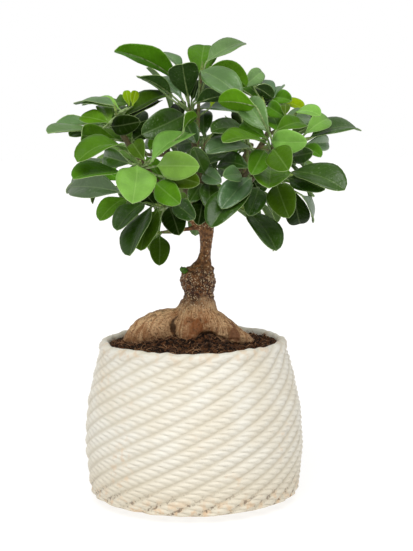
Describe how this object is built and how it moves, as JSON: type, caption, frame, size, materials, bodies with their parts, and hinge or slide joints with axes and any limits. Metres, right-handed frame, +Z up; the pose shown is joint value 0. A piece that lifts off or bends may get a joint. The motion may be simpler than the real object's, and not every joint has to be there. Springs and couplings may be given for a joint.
{
  "type": "ficus ginseng bonsai",
  "caption": "Ficus ginseng bonsai with swollen roots, a knobbly graft and a broad leafy crown, in a round cream pot with a twisted-rope relief.",
  "frame": {"origin": "centre of the pot's flat base, on the table", "axes": "+Z up along the pot's axis, -Y towards the front, +X to the right seen from the front"},
  "size_m": [0.2094, 0.2135, 0.3147],
  "materials": {
    "glaze": "satin",
    "peat": "rough",
    "bark": "rough",
    "leaf": "satin"
  },
  "bodies": {
    "root": {"pot": "glaze", "soil": "peat", "trunk": "bark", "shoot_back_left": "leaf", "shoot_back_low": "leaf", "shoot_back_low_left": "leaf", "shoot_back_low_right": "leaf", "shoot_back_middle": "leaf", "shoot_back_right": "leaf", "shoot_back_top_left": "leaf", "shoot_back_top_right": "leaf", "shoot_centre": "leaf", "shoot_centre_left": "leaf", "shoot_centre_low": "leaf", "shoot_centre_right_low": "leaf", "shoot_inner_centre": "leaf", "shoot_inner_right": "leaf", "shoot_left_front": "leaf", "shoot_left_low": "leaf", "shoot_left_mid": "leaf", "shoot_left_outer": "leaf", "shoot_left_upper": "leaf", "shoot_low_right": "leaf", "shoot_right_back_top": "leaf", "shoot_right_front": "leaf", "shoot_right_low": "leaf", "shoot_right_mid": "leaf", "shoot_right_outer": "leaf", "shoot_top": "leaf", "shoot_top_right": "leaf", "shoot_twig_end": "leaf"}
  },
  "joints": []
}
